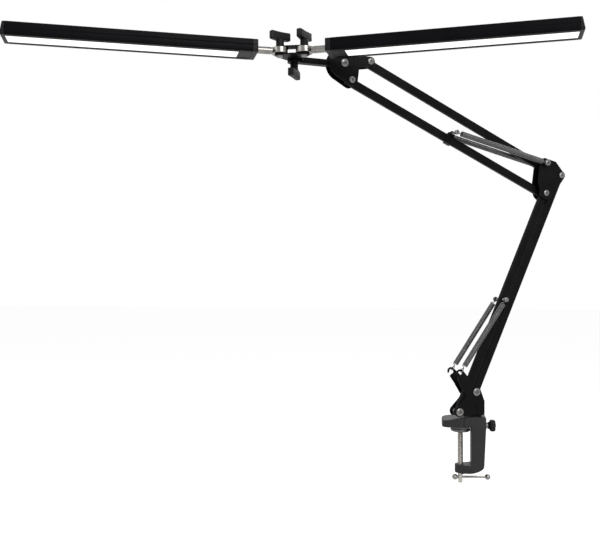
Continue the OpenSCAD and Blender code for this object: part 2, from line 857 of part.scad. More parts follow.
module head_spacers() {
    color(steel) arm() for (p = [low_head, top_head]) sleeve(p, -plate_in, -side_play);
}

disc_half = plate_in - 1.4;

module head_arm() {
    low = low_head[1] + head_arm_up;
    step = pan[0] + pan_lobe_r + 3;
    color(black) arm() difference() {
        union() {
            across(tilt, disc_r, -disc_half, disc_half);
            translate([step, -head_arm_w / 2, low]) cube([tilt[0] - step, head_arm_w, head_arm_h]);
            translate([pan[0], -head_arm_w / 2, low])
                cube([step - pan[0] + 1, head_arm_w, head_arm_h / 2 - seat]);
            translate([pan[0], 0, low]) cylinder(r = pan_lobe_r, h = head_arm_h / 2 - seat);
        }
        across(tilt, big_bolt_r + fit, -plate_in, plate_in);
        translate([pan[0], 0, low - 1]) cylinder(r = big_bolt_r + fit, h = head_arm_h);
    }
}

module friction_discs() {
    color(charcoal) arm() difference() {
        for (v = [-plate_in + seat, disc_half]) across(tilt, disc_r - 1, v, v + 1.3);
        across(tilt, big_bolt_r + fit, -plate_in - 1, plate_in + 1);
    }
}

// ---- Knuckle ----

module knuckle_plate() {
    color(black) arm() translate([0, 0, plate_z]) linear_extrude(knuckle_t) difference() {
        union() {
            bridge(pan, pan_lobe_r, left_swing, swing_lobe_r);
            bridge(pan, pan_lobe_r, right_swing, swing_lobe_r);
            bridge(left_swing, swing_lobe_r, right_swing, swing_lobe_r);
            polygon([pan, left_swing, right_swing]);
        }
        for (p = [pan, left_swing, right_swing]) translate(p) circle(big_bolt_r + fit);
    }
}

module knuckle_top_plate() {
    color(black) arm() translate([0, 0, top_plate_z]) linear_extrude(top_plate_t) difference() {
        bridge(left_swing, swing_lobe_r, right_swing, swing_lobe_r);
        for (p = [left_swing, right_swing]) translate(p) circle(big_bolt_r + fit);
    }
}

// Bolts up through both plates, with low round heads under the knuckle plate
module swivel_bolts() {
    color(zinc) arm() for (p = [left_swing, right_swing]) {
        translate([p[0], p[1], plate_z - 1]) cylinder(r = big_bolt_r, h = knob_z + stem_h + 1 - plate_z);
        translate([p[0], p[1], plate_z - 2]) cylinder(r1 = big_bolt_r + 1, r2 = big_bolt_r + 2, h = 2);
    }
}

module pan_bolt() {
    low = low_head[1] + head_arm_up;
    color(zinc) arm() translate([pan[0], pan[1], 0]) {
        translate([0, 0, low - clear - stem_h]) cylinder(r = big_bolt_r, h = plate_z - low + clear + stem_h + 3);
        translate([0, 0, plate_z + knuckle_t]) cylinder(r1 = big_bolt_r + 2.4, r2 = big_bolt_r + 1.4, h = 3);
    }
}

// A wing knob whose stem starts at z = 0 and whose wing stands on it
module wing_knob() {
    tip = wing_t / 2;
    reach = wing_l / 2 - tip;
    color(black) difference() {
        union() {
            cylinder(r = stem_r, h = stem_h + 2);
            translate([0, 0, stem_h]) cylinder(r = stem_r + 0.8, h = wing_h * 0.6);
            translate([0, 0, stem_h]) linear_extrude(wing_h * 0.8) {
                bridge([0, 0], stem_r, [reach, 0], tip * 0.8);
                bridge([0, 0], stem_r, [-reach, 0], tip * 0.8);
            }
            for (x = [-reach, reach]) translate([x, 0, stem_h + 1]) cylinder(r = tip, h = wing_h - 1);
        }
        translate([0, 0, -1]) cylinder(r = big_bolt_r + 0.02, h = stem_h + 1.5);
    }
}

module left_knob() {
    arm() translate([left_swing[0], left_swing[1], knob_z]) rotate([0, 0, 15]) wing_knob();
}

module right_knob() {
    arm() translate([right_swing[0], right_swing[1], knob_z]) rotate([0, 0, 40]) wing_knob();
}

module pan_knob() {
    low = low_head[1] + head_arm_up;
    arm() translate([pan[0], pan[1], low - clear]) rotate([180, 0, 50]) wing_knob();
}

// ---- Rods ----

// The frame of a light bar and its rod: X outwards from the swing axis, Z up, at the rod's axis
module bar_frame(p, a) {
    arm() translate([p[0], p[1], rod_z]) rotate([0, 0, a]) children();
}

rod_in = 12;

module rod() {
    color(nickel) difference() {
        union() {
            translate([0, 0, -eye_t / 2]) cylinder(r = eye_r, h = eye_t);
            intersection() {
                rotate([0, 90, 0]) cylinder(r = rod_r, h = rod_l + rod_in);
                union() {
                    translate([eye_r + 1.5, -20, -20]) cube([rod_l + rod_in, 40, 40]);
                    translate([0, -20, -eye_t / 2]) cube([eye_r + 2, 40, eye_t]);
                }
            }
            translate([rod_l + rod_in - 2, 0, 0]) rotate([0, 90, 0]) cylinder(r = rod_r + 1.3, h = 2);
        }
        translate([0, 0, -eye_t]) cylinder(r = big_bolt_r + fit, h = 2 * eye_t);
    }
}

module left_rod() {
    bar_frame(left_swing, left_a) rod();
}

module right_rod() {
    bar_frame(right_swing, right_a) rod();
}

// ---- Light bars ----

// Cross-section of a bar, as [across, up]: flat top, upright sides with a groove, sloped foot
module bar_section() {
    w = bar_w / 2;
    h = bar_h / 2;
    side = [[w - 1.2, h], [w, h - 1.2], [w, 1.2], [w - 0.5, 0.7], [w - 0.5, 0.3], [w, -0.2],
        [w, -h + 2.2], [w - 0.8, -h]];
    last = len(side) - 1;
    polygon(concat(side, [for (i = [last : -1 : 0]) [-side[i][0], side[i][1]]]));
}

module cavity_section() {
    w = bar_w / 2 - bar_wall;
    h = bar_h / 2 - bar_wall;
    f = bar_w / 2 - rim;
    shelf = -bar_h / 2 + recess + diffuser_t;
    polygon([[-w, h], [w, h], [w, shelf], [f, shelf], [f, -bar_h], [-f, -bar_h], [-f, shelf], [-w, shelf]]);
}

// Section of the caps' plugs, which pass over the diffuser
module plug_section() {
    w = bar_w / 2 - bar_wall - seat;
    low = -bar_h / 2 + recess + diffuser_t + seat;
    translate([-w, low]) square([2 * w, bar_h / 2 - bar_wall - seat - low]);
}

// A section made solid along the bar, from x0 to x1 out of the swing axis
module run(x0, x1) {
    translate([x0, 0, 0]) rotate([90, 0, 90]) linear_extrude(x1 - x0) children();
}

housing_0 = rod_l + inner_cap_l;
housing_1 = rod_l + bar_l - outer_cap_t - cap_slant;

module housing() {
    color(black) run(housing_0, housing_1) difference() {
        bar_section();
        cavity_section();
    }
}

module diffuser() {
    f = bar_w / 2 - rim - seat;
    color("white") translate([rod_l + block_l + seat, -f, -bar_h / 2 + recess])
        cube([housing_1 - rod_l - block_l - 2 * seat, 2 * f, diffuser_t]);
}

module led_board() {
    x0 = rod_l + block_l + 4;
    x1 = housing_1 - 10;
    top = bar_h / 2 - bar_wall;
    led = 2.8;
    led_t = 0.8;
    leds = floor((x1 - x0 - 2 * led) / led_pitch);
    color("#e8e8e2") {
        translate([x0, -bar_w / 2 + 7, top - board_t]) cube([x1 - x0, bar_w - 14, board_t]);
        for (i = [0 : leds], y = [-4.5, 4.5])
            translate([x0 + 2 + i * led_pitch, y - led / 2, top - board_t - led_t]) cube([led, led, led_t + 0.1]);
    }
}

// The inner cap with its bore and underside block, and the outer cap with its slanted face
module end_caps() {
    plug = 6;
    pocket_r = rod_r + 1.3 + clear;
    f = bar_w / 2 - rim - seat;
    color(black) {
        difference() {
            union() {
                run(rod_l, housing_0) bar_section();
                run(housing_0 - 0.5, rod_l + rod_in + plug) plug_section();
                translate([housing_0 - 0.5, -f, -bar_h / 2 + recess])
                    cube([block_l + rod_l - housing_0 + 0.5, 2 * f, diffuser_t + 2 * seat]);
            }
            translate([rod_l - 1, 0, 0]) rotate([0, 90, 0]) cylinder(r = rod_r + fit, h = rod_in + plug + 2);
            translate([rod_l + rod_in - 2 - clear, 0, 0]) rotate([0, 90, 0])
                cylinder(r = pocket_r, h = plug + 4);
        }
        intersection() {
            union() {
                run(housing_1, rod_l + bar_l) bar_section();
                run(housing_1 - plug, housing_1 + 0.5) plug_section();
            }
            slab_end();
        }
    }
}

// Everything short of the outer cap's slanted face
module slab_end() {
    x = rod_l + bar_l;
    translate([0, bar_w, 0]) rotate([90, 0, 0]) linear_extrude(2 * bar_w)
        polygon([[0, -bar_h], [x - 1.2, -bar_h], [x - 1.2, -bar_h / 2], [x, -bar_h / 2 + 1.2],
            [x - cap_slant, bar_h / 2 - 1], [x - cap_slant - 1, bar_h / 2], [x - cap_slant - 1, bar_h],
            [0, bar_h]]);
}

module left_housing() {
    bar_frame(left_swing, left_a) housing();
}

module right_housing() {
    bar_frame(right_swing, right_a) housing();
}

module left_diffuser() {
    bar_frame(left_swing, left_a) diffuser();
}

module right_diffuser() {
    bar_frame(right_swing, right_a) diffuser();
}

module left_led_board() {
    bar_frame(left_swing, left_a) led_board();
}

module right_led_board() {
    bar_frame(right_swing, right_a) led_board();
}

module left_end_caps() {
    bar_frame(left_swing, left_a) end_caps();
}

module right_end_caps() {
    bar_frame(right_swing, right_a) end_caps();
}

clamp_body();
swivel_pad();
clamp_screw();
tommy_bar();
tommy_bar_balls();
lock_knob();
lock_knob_screw();
post_washer();
base_post();
base_plate_near();
base_plate_far();
base_rivets();
base_bolts();
base_nuts();
base_spacers();
lower_rear_tube();
lower_rear_plugs();
lower_front_tube();
lower_front_plugs();
lower_spring_pin();
lower_spring_near();
lower_spring_far();
elbow_plate_near();
elbow_plate_far();
elbow_bolts();
elbow_nuts();
elbow_studs();
upper_top_tube();
upper_top_plugs();
upper_bottom_tube();
upper_bottom_plugs();
upper_spring_clip();
upper_spring_pin();
upper_spring_near();
upper_spring_far();
head_plate_near();
head_plate_far();
head_bolts();
head_nuts();
head_spacers();
head_arm();
friction_discs();
knuckle_plate();
knuckle_top_plate();
swivel_bolts();
pan_bolt();
pan_knob();
left_knob();
right_knob();
left_rod();
right_rod();
left_housing();
right_housing();
left_diffuser();
right_diffuser();
left_led_board();
right_led_board();
left_end_caps();
right_end_caps();
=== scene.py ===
import bpy
import json
import numpy as np
from math import cos, pi, radians, sin
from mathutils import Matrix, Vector

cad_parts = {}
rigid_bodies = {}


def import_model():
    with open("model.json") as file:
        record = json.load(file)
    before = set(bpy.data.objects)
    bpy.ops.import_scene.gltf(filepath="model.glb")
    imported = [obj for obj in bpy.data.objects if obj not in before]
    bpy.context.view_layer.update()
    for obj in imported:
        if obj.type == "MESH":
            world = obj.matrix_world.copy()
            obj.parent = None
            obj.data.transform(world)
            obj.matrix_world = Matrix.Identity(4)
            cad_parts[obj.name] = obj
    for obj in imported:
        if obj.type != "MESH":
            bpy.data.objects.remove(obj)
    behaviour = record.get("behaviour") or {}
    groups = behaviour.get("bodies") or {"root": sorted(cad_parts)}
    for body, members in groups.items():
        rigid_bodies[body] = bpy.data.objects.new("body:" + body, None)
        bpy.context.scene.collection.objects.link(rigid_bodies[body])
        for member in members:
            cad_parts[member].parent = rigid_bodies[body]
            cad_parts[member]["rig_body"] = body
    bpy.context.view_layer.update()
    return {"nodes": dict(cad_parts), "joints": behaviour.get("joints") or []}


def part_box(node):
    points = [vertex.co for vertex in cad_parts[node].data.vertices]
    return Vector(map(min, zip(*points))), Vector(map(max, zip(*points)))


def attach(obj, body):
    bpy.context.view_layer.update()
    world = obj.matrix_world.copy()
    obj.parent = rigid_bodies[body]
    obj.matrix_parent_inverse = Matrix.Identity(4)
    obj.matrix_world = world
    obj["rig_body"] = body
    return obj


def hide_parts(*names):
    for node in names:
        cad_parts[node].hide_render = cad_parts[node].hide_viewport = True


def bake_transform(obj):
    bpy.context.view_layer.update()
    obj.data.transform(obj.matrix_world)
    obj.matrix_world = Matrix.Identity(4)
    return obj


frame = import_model()

# ---- Camera ----
# It stands in front of the lamp a little above the clamp and looks level, so that the light bars,
# which hang higher than the lens, show their undersides.
joint = {j["name"]: j for j in frame["joints"]}


def pivot(name):
    """Where a hinge's axis passes, as the frame gives it."""
    return np.array(joint[name]["pos_m"])


rear_pivot = pivot("lower_arm")
camera_data = bpy.data.cameras.new("studio_camera")
camera_data.lens = 44.5
camera_data.sensor_width = 36
camera_data.clip_end = 30
camera = bpy.data.objects.new("studio_camera", camera_data)
lens_from_pivot = np.array([-0.0704, -1.1023, 0.1675])
camera.location = rear_pivot + lens_from_pivot
camera.rotation_euler = (radians(90.46), 0, radians(9.5))
bpy.context.scene.collection.objects.link(camera)
bpy.context.scene.camera = camera
bpy.context.scene.view_settings.view_transform = "Standard"


# ---- Studio ----
# A pale floor well below the clamp, a white surround and soft lamps: a large one above on the left,
# a weaker one on the right and one behind that draws the upper edges of the black parts.
def node_tools(owner):
    """For a material or world, its node tree emptied: a function that adds a node with its values, and
    one that links two sockets."""
    owner.use_nodes = True
    tree = owner.node_tree
    tree.nodes.clear()

    def add(kind, **values):
        node = tree.nodes.new(kind)
        for key, value in values.items():
            if hasattr(node, key):
                setattr(node, key, value)
            else:
                node.inputs[key.replace("_", " ")].default_value = value
        return node

    return add, tree.links.new


def node_material(name):
    """A new material, with the two functions of its node tree."""
    made = bpy.data.materials.new(name)
    return (made, *node_tools(made))


def white_seen(add, link):
    """1 for camera, glossy and transmission rays, which see the white surround, and 0 for those that
    light the lamp."""
    path = add("ShaderNodeLightPath")
    first = add("ShaderNodeMath", operation="MAXIMUM")
    both = add("ShaderNodeMath", operation="MAXIMUM")
    link(path.outputs["Is Camera Ray"], first.inputs[0])
    link(path.outputs["Is Glossy Ray"], first.inputs[1])
    link(first.outputs[0], both.inputs[0])
    link(path.outputs["Is Transmission Ray"], both.inputs[1])
    return both.outputs[0]


floor_half, floor_z, floor_glow = 12.0, -0.36, 0.8
floor_paint, add, link = node_material("floor_paint")
matt = add("ShaderNodeBsdfDiffuse", Color=(0.6, 0.6, 0.6, 1))
glow = add("ShaderNodeEmission", Color=(1, 1, 1, 1))
seen_glow = add("ShaderNodeMath", operation="MULTIPLY")
seen_glow.inputs[1].default_value = floor_glow
link(white_seen(add, link), seen_glow.inputs[0])
link(seen_glow.outputs[0], glow.inputs["Strength"])
total = add("ShaderNodeAddShader")
link(matt.outputs[0], total.inputs[0])
link(glow.outputs[0], total.inputs[1])
link(total.outputs[0], add("ShaderNodeOutputMaterial").inputs["Surface"])

floor_mesh = bpy.data.meshes.new("floor")
corners = ((-1, -1), (1, -1), (1, 1), (-1, 1))
floor_mesh.from_pydata([(x * floor_half, y * floor_half, floor_z) for x, y in corners], [], [(0, 1, 2, 3)])
floor = bpy.data.objects.new("floor", floor_mesh)
floor_mesh.materials.append(floor_paint)
bpy.context.scene.collection.objects.link(floor)

surround = bpy.data.worlds.new("surround")
bpy.context.scene.world = surround
add, link = node_tools(surround)
background = add("ShaderNodeBackground", Color=(1, 1, 1, 1))
surround_light, surround_seen = 0.3, 1.0
strength = add("ShaderNodeMapRange", To_Min=surround_light, To_Max=surround_seen)
link(white_seen(add, link), strength.inputs["Value"])
link(strength.outputs["Result"], background.inputs["Strength"])
link(background.outputs[0], add("ShaderNodeOutputWorld").inputs["Surface"])


def lamp(name, place, aim, size, watts):
    """A square soft lamp at place that faces aim."""
    data = bpy.data.lights.new(name, "AREA")
    data.size = size
    data.energy = watts
    made = bpy.data.objects.new(name, data)
    made.location = place
    made.rotation_euler = (Vector(aim) - Vector(place)).to_track_quat("-Z", "Y").to_euler()
    bpy.context.scene.collection.objects.link(made)


lamp("key_lamp", (0.9, -1.8, 1.3), (-0.1, 0, 0.25), 1.2, 30)
lamp("fill_lamp", (-1.5, -1.2, 1.5), (-0.1, 0, 0.3), 1.0, 9)
lamp("rim_lamp", (0.3, 1.6, 1.6), (-0.1, 0, 0.35), 1.2, 16)


# ---- Clamp body ----
# One iron casting: the jaw that rests on the desk, the column with its bored post seat, and the foot that
# ends in the threaded boss. It is painted charcoal over the sand texture, and every edge is cast round.
def shader(add, color, roughness, metallic=0.0, **more):
    """A principled shader with its constant values on its own sockets."""
    made = add("ShaderNodeBsdfPrincipled", Metallic=metallic, Roughness=roughness)
    made.inputs["Base Color"].default_value = (*color, 1)
    for key, value in more.items():
        made.inputs[key.replace("_", " ")].default_value = value
    return made


def noise(add, link, scale, detail=3.0, stretch=None):
    """Noise on the object's own coordinates in metres; stretch squeezes it along the axes, for a grain."""
    place = add("ShaderNodeTexCoord").outputs["Object"]
    if stretch is not None:
        mapping = add("ShaderNodeMapping", Scale=stretch)
        link(place, mapping.inputs["Vector"])
        place = mapping.outputs["Vector"]
    made = add("ShaderNodeTexNoise", Scale=scale, Detail=detail)
    link(place, made.inputs["Vector"])
    return made.outputs["Fac"]


def spread(add, link, value, low, high, start=0.3, end=0.7):
    """value from start to end, drawn out from low to high."""
    made = add("ShaderNodeMapRange", From_Min=start, From_Max=end, To_Min=low, To_Max=high)
    link(value, made.inputs["Value"])
    return made.outputs["Result"]


def mix(add, link, value, first, second):
    """A colour from first to second by value; each is a plain colour or a socket that gives one."""
    made = add("ShaderNodeMix", data_type="RGBA")
    sockets = {s.identifier: s for s in made.inputs}
    link(value, sockets["Factor_Float"])
    for key, color in (("A_Color", first), ("B_Color", second)):
        if isinstance(color, tuple):
            sockets[key].default_value = (*color, 1)
        else:
            link(color, sockets[key])
    return next(s for s in made.outputs if s.identifier == "Result_Color")


def bump(add, link, body, layers):
    """Bumps one on another, each a height value and its depth in metres, into the shader's normal."""
    last = None
    for height, depth in layers:
        made = add("ShaderNodeBump", Strength=1.0, Distance=depth)
        link(height, made.inputs["Height"])
        if last is not None:
            link(last, made.inputs["Normal"])
        last = made.outputs["Normal"]
    link(last, body.inputs["Normal"])


wear_starts, wear_full = 0.02, 0.2


def worn_edge(add, link, radius):
    """0 on a flat and up to 1 where an edge is tighter than radius, from the rounded and the true normal."""
    rounded = add("ShaderNodeBevel", samples=4, Radius=radius)
    dot = add("ShaderNodeVectorMath", operation="DOT_PRODUCT")
    link(rounded.outputs["Normal"], dot.inputs[0])
    link(add("ShaderNodeNewGeometry").outputs["Normal"], dot.inputs[1])
    return spread(add, link, dot.outputs["Value"], 1.0, 0.0, 1.0 - wear_full, 1.0 - wear_starts)


def paint(name, dark, light, roughness, grain, depth, edge, edge_radius, gloss=0.5):
    """A sprayed or baked coat: two close tones in soft clouds, fine grain, and a paler film on the edges."""
    made, add, link = node_material(name)
    body = shader(add, dark, roughness, Specular_IOR_Level=gloss)
    cloud = noise(add, link, 45, 4)
    base = mix(add, link, spread(add, link, cloud, 0, 1), dark, light)
    link(mix(add, link, worn_edge(add, link, edge_radius), base, edge), body.inputs["Base Color"])
    fine = noise(add, link, grain, 2)
    link(spread(add, link, fine, roughness - 0.07, roughness + 0.09), body.inputs["Roughness"])
    bump(add, link, body, [(fine, depth), (noise(add, link, grain / 5, 3), depth * 1.5)])
    link(body.outputs[0], add("ShaderNodeOutputMaterial").inputs["Surface"])
    return made


def cad_points(node):
    """The vertices of a CAD node in metres, a row for each."""
    mesh = frame["nodes"][node].data
    place = np.empty(len(mesh.vertices) * 3, np.float32)
    mesh.vertices.foreach_get("co", place)
    return place.reshape(-1, 3).astype(float)


def piece(name, points, faces, material, body, slot, replaces=(), smooth=True):
    """A mesh of points and faces that rides on a body, with its finish, and stands for its plain solids."""
    mesh = bpy.data.meshes.new(name)
    mesh.from_pydata(np.asarray(points, float).reshape(-1, 3).tolist(), [], [list(f) for f in faces])
    mesh.polygons.foreach_set("use_smooth", [smooth] * len(mesh.polygons))
    mesh.materials.append(material)
    made = bpy.data.objects.new(name, mesh)
    bpy.context.scene.collection.objects.link(made)
    if body:
        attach(made, body)
    if replaces:
        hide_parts(*replaces)
    return made


same_point, same_flat, sharp_edge = 2e-5, 0.5, 35


def rounded_copy(node, width, material, slot, segments=2):
    """A copy of a rigid part's own surface, welded, its flats made whole, with every sharp edge rounded."""
    source = frame["nodes"][node]
    corner = np.empty(len(source.data.loops), np.int32)
    source.data.loops.foreach_get("vertex_index", corner)
    made = piece(node + "_finished", cad_points(node), corner.reshape(-1, 3).tolist(), material,
                 source["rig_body"], slot, [node])
    weld = made.modifiers.new("weld", "WELD")
    weld.merge_threshold = same_point
    flats = made.modifiers.new("flats", "DECIMATE")
    flats.decimate_type = "DISSOLVE"
    flats.angle_limit = radians(same_flat)
    edges = made.modifiers.new("edges", "BEVEL")
    edges.width = width
    edges.segments = segments
    edges.limit_method = "ANGLE"
    edges.angle_limit = radians(sharp_edge)
    edges.use_clamp_overlap = False
    edges.harden_normals = True
    return made


cast_edge, plate_edge, base_plate_edge, knuckle_edge = 0.0012, 0.0004, 0.00035, 0.0003
tube_edge, moulded_edge, turned_edge, drawn_edge = 0.00025, 0.0003, 0.0003, 0.0006
cast_paint = paint("cast_paint", (0.014, 0.014, 0.015), (0.022, 0.022, 0.023), roughness=0.5, grain=900,
                   depth=0.00012, edge=(0.05, 0.05, 0.053), edge_radius=0.0008, gloss=0.25)
rounded_copy("clamp_body", cast_edge, cast_paint, "cast", segments=3)


# ---- Clamp screw and swivel pad ----
# A nickel-plated M8 screw with a rolled thread, turned down at its foot where the tommy bar passes, and a
# pressed dish that swivels on the screw's ball end. The bar is drawn rod with a ball on each end.
# How far the painted shade in sunk places reaches.
shade_reach = 0.002


def plated(name, color, roughness, grain, streak, tint):
    """Plated metal: a directional grain of fine lines, soft stains in the colour, a lively roughness, and
    painted shade that darkens the colour where the surface is sunk, as in a recess or between two turns of
    wire."""
    made, add, link = node_material(name)
    body = shader(add, color, roughness, metallic=1.0)
    lines = noise(add, link, grain, 2, streak)
    stain = noise(add, link, 140, 3)
    darker = tuple(c * (1 - 2 * tint) for c in color)
    clean = mix(add, link, spread(add, link, stain, 0, 1), darker, color)
    # Painted shade: the colour falls towards near black where ambient occlusion finds the surface sunk.
    sunk = add("ShaderNodeAmbientOcclusion", samples=8, only_local=True, Distance=shade_reach)
    recess_shade = tuple(c * 0.12 for c in color)
    link(mix(add, link, spread(add, link, sunk.outputs["AO"], 0, 1, 0.35, 0.9), recess_shade, clean),
         body.inputs["Base Color"])
    link(spread(add, link, lines, roughness - 0.06, roughness + 0.1), body.inputs["Roughness"])
    bump(add, link, body, [(lines, 0.00002)])
    link(body.outputs[0], add("ShaderNodeOutputMaterial").inputs["Surface"])
    return made


def tube_faces(rows, columns):
    """Quads between rows of points that each run once round, and a face across each end."""
    i = np.arange(rows - 1)[:, None] * columns
    j = np.arange(columns)[None, :]
    k, m = i + columns, (j + 1) % columns
    walls = np.stack([i + j, i + m, k + m, k + j], -1).reshape(-1, 4).tolist()
    last = (rows - 1) * columns
    return walls + [list(range(columns))[::-1], list(range(last, last + columns))]


def frame_about(axis):
    """Two directions square to an axis, as rows, with the axis last."""
    axis = np.array(axis, float) / np.linalg.norm(axis)
    side = np.cross([0, 0, 1.0], axis) if abs(axis[2]) < 0.9 else np.array([1.0, 0, 0])
    side = side - (side @ axis) * axis
    side /= np.linalg.norm(side)
    return np.stack([side, np.cross(axis, side), axis])


def turned(profile, origin, axis, count=48, shape=None):
    """A surface of revolution: the profile's radius and height swept round the axis, with a flat face
    across each end. shape(angle, profile) scales the radius, for lobes."""
    profile = np.array(profile, float)
    angle = np.linspace(0, 2 * pi, count, endpoint=False)
    radius = profile[:, :1] * (1 if shape is None else shape(angle[None, :], profile))
    radius = np.broadcast_to(radius, (len(profile), count))
    local = np.stack([radius * np.cos(angle), radius * np.sin(angle),
                      np.broadcast_to(profile[:, 1:2], radius.shape)], -1).reshape(-1, 3)
    return np.array(origin) + local @ frame_about(axis), tube_faces(len(profile), count)


def extent(node, axis, origin=(0, 0, 0)):
    """How far a CAD node reaches along an axis from origin, as its lowest and highest value."""
    along = (cad_points(node) - np.array(origin)) @ np.array(axis, float)
    return along.min(), along.max()


nickel = plated("nickel_plate", (0.44, 0.42, 0.38), roughness=0.26, grain=500, streak=(1, 1, 0.05), tint=0.12)
bright_rod = plated("bright_rod", (0.25, 0.24, 0.225), roughness=0.2, grain=500, streak=(1, 1, 0.05),
                    tint=0.12)
# The dish's plating is painted far darker than the screw's nickel: painted shade and a painted dark
# reflection, for the shade under the jaw.
brushed_dish_painted_shade = plated("brushed_dish_painted_shade", (0.13, 0.125, 0.12), roughness=0.38, grain=600, streak=(1, 1, 0.3),
                      tint=0.12)
up = np.array([0, 0, 1.0])

screw_low, screw_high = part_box("clamp_screw")
thread_r, root_r, pitch = 0.00398, 0.0034, 0.00125
plain_r, plain_top = 0.0032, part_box("clamp_body")[0].z - 0.0008
pad_low, pad_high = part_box("swivel_pad")
thread_top = pad_low.z - 0.0008
rows_a_turn = 8
rows = int((thread_top - plain_top) / pitch * rows_a_turn)
z = np.linspace(plain_top, thread_top, rows)
angle = np.linspace(0, 2 * pi, 33)[:-1]
turn = (z[:, None] / pitch - angle[None, :] / (2 * pi)) % 1
radius = root_r + (thread_r - root_r) * np.clip(1.25 - 2.5 * abs(turn - 0.5), 0, 1)
ease = np.clip(np.minimum(z - plain_top, thread_top - z) / (1.5 * pitch), 0, 1)[:, None]
radius = root_r + (radius - root_r) * ease
thread = np.stack([radius * np.cos(angle), radius * np.sin(angle),
                   np.broadcast_to(z[:, None], radius.shape)], -1).reshape(-1, 3)
piece("screw_thread", thread, tube_faces(rows, len(angle)), nickel, "screw", "nickel", ["clamp_screw"])
tip_r = 0.0026
points, faces = turned([(plain_r - 0.0012, screw_low.z), (plain_r - 0.0003, screw_low.z + 0.0004),
                        (plain_r, screw_low.z + 0.0012), (plain_r, plain_top - 0.0006),
                        (root_r - 0.0002, plain_top + 0.0004)], (0, 0, 0), up)
piece("screw_foot", points, faces, nickel, "screw", "nickel")
points, faces = turned([(0.0018, thread_top - 0.001), (0.0018, thread_top + 0.0014),
                        *[(tip_r * sin(a), screw_high.z - tip_r - tip_r * cos(a) - 0.0001)
                          for a in np.linspace(0.75, pi - 0.05, 12)]], (0, 0, 0), up, 32)
piece("screw_ball_end", points, faces, nickel, "screw", "nickel")

pad_r = pad_high.x
points, faces = turned([(0.0032, pad_low.z + 0.0003), (0.0042, pad_low.z), (0.005, pad_low.z + 0.0002),
                        (0.0058, pad_low.z + 0.0007), (0.0072, pad_low.z + 0.0012),
                        (pad_r * 0.78, pad_low.z + 0.0018), (pad_r - 0.0014, pad_low.z + 0.0022),
                        (pad_r - 0.0004, pad_low.z + 0.0030), (pad_r, pad_low.z + 0.0040),
                        (pad_r - 0.0001, pad_high.z - 0.0008), (pad_r - 0.0005, pad_high.z - 0.0001),
                        (pad_r - 0.0012, pad_high.z), (pad_r * 0.7, pad_high.z - 0.0004),
                        (pad_r * 0.3, pad_high.z - 0.0006), (0.0002, pad_high.z - 0.0006)],
                       (0, 0, 0), up, 64)
# The dish wears the darkened plating, as painted shade.
piece("pad_dish", points, faces, brushed_dish_painted_shade, "pad", "nickel", ["swivel_pad"])


def coat(material, *nodes):
    """Gives CAD parts whose shape is right as it is their finish."""
    for node in nodes:
        mesh = frame["nodes"][node].data
        mesh.materials.clear()
        mesh.materials.append(material)


bar_edge = 0.0004
rounded_copy("tommy_bar", bar_edge, bright_rod, "nickel")
coat(bright_rod, "tommy_bar_balls")


# ---- Lock knob ----
# A moulded star knob on a zinc stud that runs through the column and locks the post in its groove.
# Its six lobes are full and round, the front is dished round a raised hub.
def moulded(name, dark, light, roughness, grain):
    """Moulded plastic: a fine spark-eroded grain, soft flow clouds and slightly rubbed edges."""
    return paint(name, dark, light, roughness, grain, depth=0.00006, edge=tuple(c * 2.5 for c in light),
                 edge_radius=0.0005, gloss=0.14)


plastic = moulded("knob_plastic", (0.004, 0.004, 0.005), (0.008, 0.008, 0.009), roughness=0.46, grain=1400)
zinc = plated("zinc_plate", (0.20, 0.196, 0.19), roughness=0.3, grain=700, streak=(1, 0.2, 1), tint=0.12)
knob_axis = np.array(joint["lock_turn"]["axis"], float)
knob_low, knob_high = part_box("lock_knob")
knob_centre = pivot("lock_turn") * (0, 1, 1)
knob_r = knob_high.y - knob_centre[1]
knob_t = knob_high.x - knob_low.x
lobes, lobe_depth = 6, 0.085


def lobed(angle, profile):
    """Six lobes: the radius swings with the cosine of six times the angle, less so near the axis."""
    depth = lobe_depth * np.clip(profile[:, :1] / knob_r * 1.6 - 0.5, 0, 1)
    return 1 - depth + depth * np.cos(lobes * angle)


back, face = knob_low.x, knob_high.x
points, faces = turned([(0.0042, back), (0.0052, back + 0.0003), (0.0054, back + 0.0012),
                        (knob_r - 0.0030, back + 0.0022), (knob_r - 0.0011, back + 0.0026),
                        (knob_r - 0.0002, back + 0.0038), (knob_r, back + knob_t * 0.5),
                        (knob_r - 0.0001, face - 0.0030), (knob_r - 0.0006, face - 0.0016),
                        (knob_r - 0.0019, face - 0.0006), (knob_r - 0.0034, face - 0.0006),
                        (0.0046, face - 0.0016), (0.0040, face - 0.0014), (0.0034, face - 0.0002),
                        (0.0028, face), (0.0008, face)], knob_centre, knob_axis, 96, lobed)
piece("star_knob", points, faces, plastic, "lock", "plastic", ["lock_knob"])
rounded_copy("lock_knob_screw", turned_edge, zinc, "zinc")


# ---- Post and base bracket ----
# A turned steel post that turns in the clamp, and two stamped plates riveted to the block on its head.
# Each plate's arm is bent outwards and ends in an open hook, and holds a spring's end.
across = -np.array(joint["lower_arm"]["axis"], float)
forward = np.cross(across, up)
powder = paint("powder_coat", (0.003, 0.003, 0.0035), (0.007, 0.007, 0.008), roughness=0.4, grain=1100,
               depth=0.00008, edge=(0.022, 0.022, 0.024), edge_radius=0.0006, gloss=0.06)
washer_edge, rivet_edge = 0.0002, 0.0004
steel = plated("turned_steel", (0.40, 0.40, 0.40), roughness=0.3, grain=600, streak=(0.2, 0.2, 1), tint=0.1)
rounded_copy("post_washer", washer_edge, plastic, "plastic")
rounded_copy("base_post", turned_edge, steel, "zinc")
for name in ("base_plate_near", "base_plate_far"):
    rounded_copy(name, base_plate_edge, powder, "powder")
rounded_copy("base_rivets", rivet_edge, powder, "powder")
coat(steel, "base_spacers", "head_spacers")


